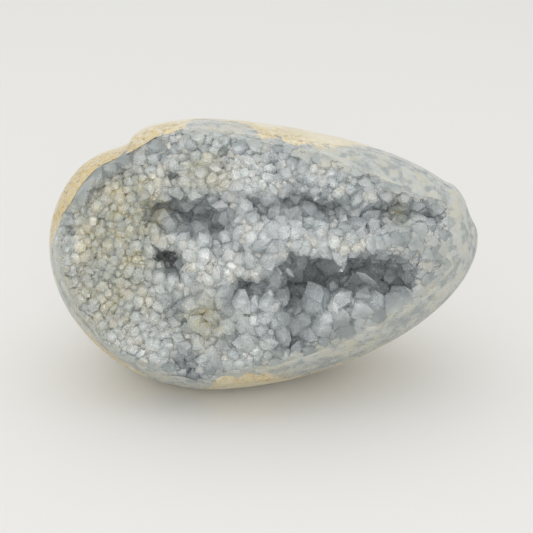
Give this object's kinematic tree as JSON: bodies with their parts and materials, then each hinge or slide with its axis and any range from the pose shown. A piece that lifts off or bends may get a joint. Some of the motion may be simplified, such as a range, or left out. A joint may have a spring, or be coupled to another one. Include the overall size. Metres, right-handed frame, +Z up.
{
  "type": "celestite geode",
  "caption": "Egg-shaped limestone geode, polished outside, open at the front to a crust of pale blue celestite crystals with deep pockets, resting on a small flat spot.",
  "frame": {"origin": "centre of the flat spot that the geode rests on", "axes": "+X along the egg to its pointed end, -Y towards the open crystal face, +Z up"},
  "size_m": [0.1504, 0.0931, 0.093],
  "materials": {
    "polished_limestone": "cream limestone, ground and polished to a soft sheen, with ochre clay in its pits",
    "celestite": "pale grey-blue translucent crystals with glassy faces, whiter on the ridges"
  },
  "bodies": {
    "root": {"matrix_rind": "polished_limestone", "crystal_crust": "celestite"}
  },
  "joints": []
}
